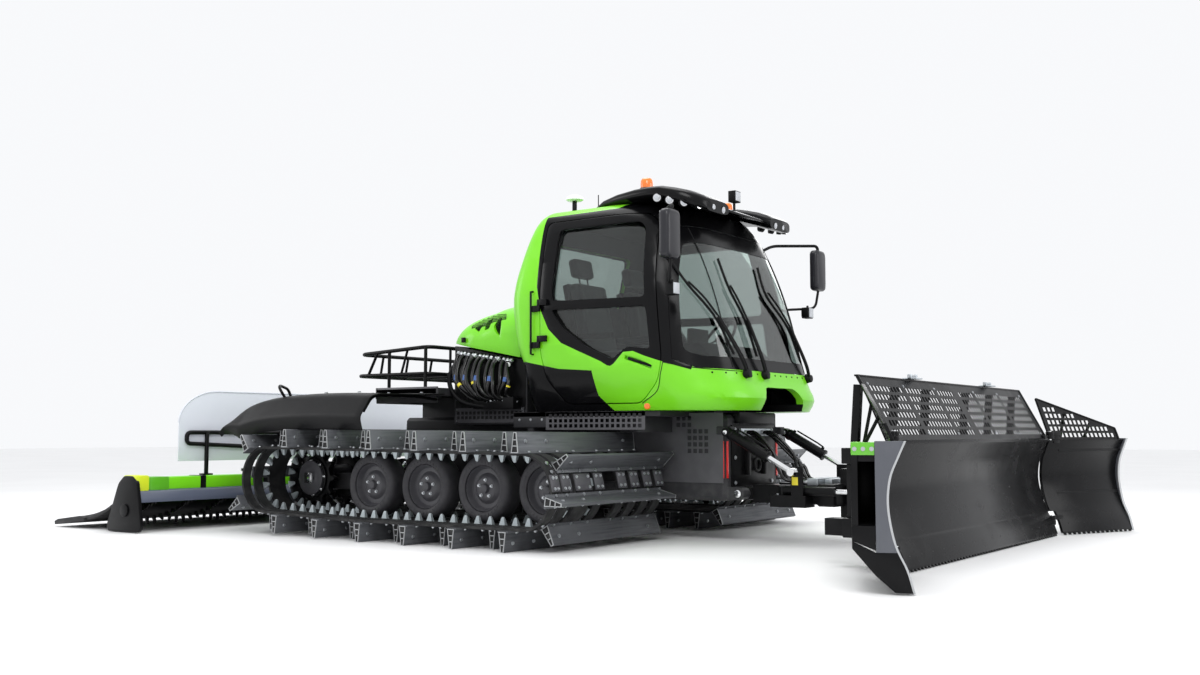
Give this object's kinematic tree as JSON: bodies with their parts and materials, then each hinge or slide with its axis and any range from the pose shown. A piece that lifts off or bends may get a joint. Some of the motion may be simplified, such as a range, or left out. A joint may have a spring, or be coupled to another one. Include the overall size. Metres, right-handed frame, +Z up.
{
  "type": "snow groomer",
  "caption": "Tracked snow groomer with a lime cab, a folding-wing front blade and a rear tiller, with doors, hood, lifts and rotor that move.",
  "frame": {"origin": "on the ground in the middle of the vehicle's outline, with blade and tiller", "axes": "+X forward, +Y to the vehicle's left, +Z up"},
  "size_m": [8.2048, 5.458, 2.92],
  "materials": {
    "lime_paint": "gloss lime green paint",
    "black_paint": "satin black paint",
    "hull_grey": "satin dark grey paint",
    "track_rubber": "matte black belts with grey aluminium cleats",
    "tyre_rubber": "matte tyre with grey painted disc",
    "rod_steel": "polished chrome",
    "black_plastic": "fine grained moulding",
    "seat_cloth": "woven cloth",
    "tinted_glass": "clear tinted",
    "milky_sheet": "translucent milky sheet",
    "engine_iron": "cast",
    "hose_rubber": "semi-gloss hose",
    "finisher_rubber": "matte comb rubber"
  },
  "bodies": {
    "chassis": {"chassis_hull": "hull_grey", "engine_block": "engine_iron", "track_right": "track_rubber", "track_left": "track_rubber", "running_gear_right": "tyre_rubber", "running_gear_left": "tyre_rubber", "cab_shell": "lime_paint", "windshield": "tinted_glass", "rear_window": "tinted_glass", "roof_visor": "black_plastic", "cab_seats": "seat_cloth", "driver_console": "black_plastic", "mirror_right": "black_plastic", "mirror_left": "black_plastic", "fender_right": "black_plastic", "fender_left": "black_plastic", "wipers": "black_plastic", "hose_bundle": "hose_rubber", "rear_deck": "hull_grey", "deck_rack": "black_paint"},
    "door_right": {"door_right": "lime_paint", "door_glass_right": "tinted_glass"},
    "door_left": {"door_left": "lime_paint", "door_glass_left": "tinted_glass"},
    "engine_hood": {"engine_hood": "lime_paint"},
    "push_frame": {"push_frame": "black_paint"},
    "swivel_head": {"swivel_head": "black_paint"},
    "tilt_yoke": {"tilt_yoke": "black_paint"},
    "blade": {"blade_center": "black_paint"},
    "wing_right": {"blade_wing_right": "black_paint"},
    "wing_left": {"blade_wing_left": "black_paint"},
    "tiller_frame": {"tiller_lift_frame": "black_paint"},
    "tiller": {"tiller_beam": "lime_paint", "splash_guard": "milky_sheet"},
    "rotor": {"tiller_rotor": "black_paint"},
    "finisher": {"tiller_finisher": "finisher_rubber"},
    "tiller_cylinder": {"tiller_cylinder": "black_paint"},
    "tiller_rod": {"tiller_rod": "rod_steel"},
    "lift_cylinder_right": {"lift_cylinder_right": "black_paint"},
    "lift_rod_right": {"lift_rod_right": "rod_steel"},
    "angle_cylinder_right": {"angle_cylinder_right": "black_paint"},
    "angle_rod_right": {"angle_rod_right": "rod_steel"},
    "lift_cylinder_left": {"lift_cylinder_left": "black_paint"},
    "lift_rod_left": {"lift_rod_left": "rod_steel"},
    "angle_cylinder_left": {"angle_cylinder_left": "black_paint"},
    "angle_rod_left": {"angle_rod_left": "rod_steel"}
  },
  "joints": [
    {"name": "door_right_hinge", "type": "hinge", "parent": "chassis", "child": "door_right", "pos_m": [0.325, -1.016, 1.75], "axis": [0, 0, -1], "range_deg": [0, 75]},
    {"name": "door_left_hinge", "type": "hinge", "parent": "chassis", "child": "door_left", "pos_m": [0.325, 1.016, 1.75], "axis": [0, 0, 1], "range_deg": [0, 75]},
    {"name": "hood_hinge", "type": "hinge", "parent": "chassis", "child": "engine_hood", "pos_m": [-0.055, 0, 2], "axis": [0, 1, 0], "range_deg": [0, 55]},
    {"name": "blade_lift", "type": "hinge", "parent": "chassis", "child": "push_frame", "pos_m": [1.84, 0, 0.38], "axis": [0, -1, 0], "range_deg": [-4, 25]},
    {"name": "blade_angle", "type": "hinge", "parent": "push_frame", "child": "swivel_head", "pos_m": [2.78, 0, 0.38], "axis": [0, 0, 1], "range_deg": [-22, 22]},
    {"name": "blade_tilt", "type": "hinge", "parent": "swivel_head", "child": "tilt_yoke", "pos_m": [2.93, 0, 0.38], "axis": [1, 0, 0], "range_deg": [-10, 10]},
    {"name": "blade_pitch", "type": "hinge", "parent": "tilt_yoke", "child": "blade", "pos_m": [3.2, 0, 0.36], "axis": [0, 1, 0], "range_deg": [-8, 10]},
    {"name": "wing_right_fold", "type": "hinge", "parent": "blade", "child": "wing_right", "pos_m": [3.645, -1.715, 0.45], "axis": [0, 0, 1], "range_deg": [-24, 40]},
    {"name": "lift_cylinder_right_pivot", "type": "hinge", "parent": "chassis", "child": "lift_cylinder_right", "pos_m": [1.8, -0.5, 0.86], "axis": [0, -1, 0], "range_deg": [-2.9, 15.49]},
    {"name": "lift_rod_right_slide", "type": "slide", "parent": "lift_cylinder_right", "child": "lift_rod_right", "axis": [0.8779, 0, -0.4789], "range_m": [-0.1875, 0.0317]},
    {"name": "angle_cylinder_right_pivot", "type": "hinge", "parent": "push_frame", "child": "angle_cylinder_right", "pos_m": [2.2, -0.36, 0.4145], "axis": [0, 0, 1], "range_deg": [-2.91, 2.91]},
    {"name": "angle_rod_right_slide", "type": "slide", "parent": "angle_cylinder_right", "child": "angle_rod_right", "axis": [1, 0, 0], "range_m": [-0.1388, 0.1388]},
    {"name": "wing_left_fold", "type": "hinge", "parent": "blade", "child": "wing_left", "pos_m": [3.645, 1.715, 0.45], "axis": [0, 0, -1], "range_deg": [-24, 40]},
    {"name": "lift_cylinder_left_pivot", "type": "hinge", "parent": "chassis", "child": "lift_cylinder_left", "pos_m": [1.8, 0.5, 0.86], "axis": [0, -1, 0], "range_deg": [-2.9, 15.49]},
    {"name": "lift_rod_left_slide", "type": "slide", "parent": "lift_cylinder_left", "child": "lift_rod_left", "axis": [0.8779, 0, -0.4789], "range_m": [-0.1875, 0.0317]},
    {"name": "angle_cylinder_left_pivot", "type": "hinge", "parent": "push_frame", "child": "angle_cylinder_left", "pos_m": [2.2, 0.36, 0.4145], "axis": [0, 0, 1], "range_deg": [-2.91, 2.91]},
    {"name": "angle_rod_left_slide", "type": "slide", "parent": "angle_cylinder_left", "child": "angle_rod_left", "axis": [1, 0, 0], "range_m": [-0.1388, 0.1388]},
    {"name": "tiller_lift", "type": "hinge", "parent": "chassis", "child": "tiller_frame", "pos_m": [-1.86, 0, 0.55], "axis": [0, 1, 0], "range_deg": [-3, 35]},
    {"name": "tiller_roll", "type": "hinge", "parent": "tiller_frame", "child": "tiller", "pos_m": [-2.76, 0, 0.455], "axis": [1, 0, 0], "range_deg": [-6, 6]},
    {"name": "rotor_spin", "type": "hinge", "parent": "tiller", "child": "rotor", "pos_m": [-2.95, 0, 0.19], "axis": [0, 1, 0], "continuous": true},
    {"name": "finisher_hinge", "type": "hinge", "parent": "tiller", "child": "finisher", "pos_m": [-3.1, 0, 0.28], "axis": [0, 1, 0], "range_deg": [-2, 30]},
    {"name": "tiller_cylinder_pivot", "type": "hinge", "parent": "chassis", "child": "tiller_cylinder", "pos_m": [-1.8, 0, 0.93], "axis": [0, 1, 0], "range_deg": [-2.6, 25.05]},
    {"name": "tiller_rod_slide", "type": "slide", "parent": "tiller_cylinder", "child": "tiller_rod", "axis": [-0.8762, 0, -0.4819], "range_m": [-0.2069, 0.0196]}
  ],
  "couplings": [
    {"joint": "lift_cylinder_right_pivot", "follows": "blade_lift", "ratio": 0.59943},
    {"joint": "lift_rod_right_slide", "follows": "blade_lift", "m_per_rad": -0.42516},
    {"joint": "angle_cylinder_right_pivot", "follows": "blade_angle", "ratio": 0.10939},
    {"joint": "angle_rod_right_slide", "follows": "blade_angle", "m_per_rad": 0.35619},
    {"joint": "lift_cylinder_left_pivot", "follows": "blade_lift", "ratio": 0.59943},
    {"joint": "lift_rod_left_slide", "follows": "blade_lift", "m_per_rad": -0.42516},
    {"joint": "angle_cylinder_left_pivot", "follows": "blade_angle", "ratio": 0.10939},
    {"joint": "angle_rod_left_slide", "follows": "blade_angle", "m_per_rad": -0.35619},
    {"joint": "tiller_cylinder_pivot", "follows": "tiller_lift", "ratio": 0.70132},
    {"joint": "tiller_rod_slide", "follows": "tiller_lift", "m_per_rad": -0.33549}
  ]
}
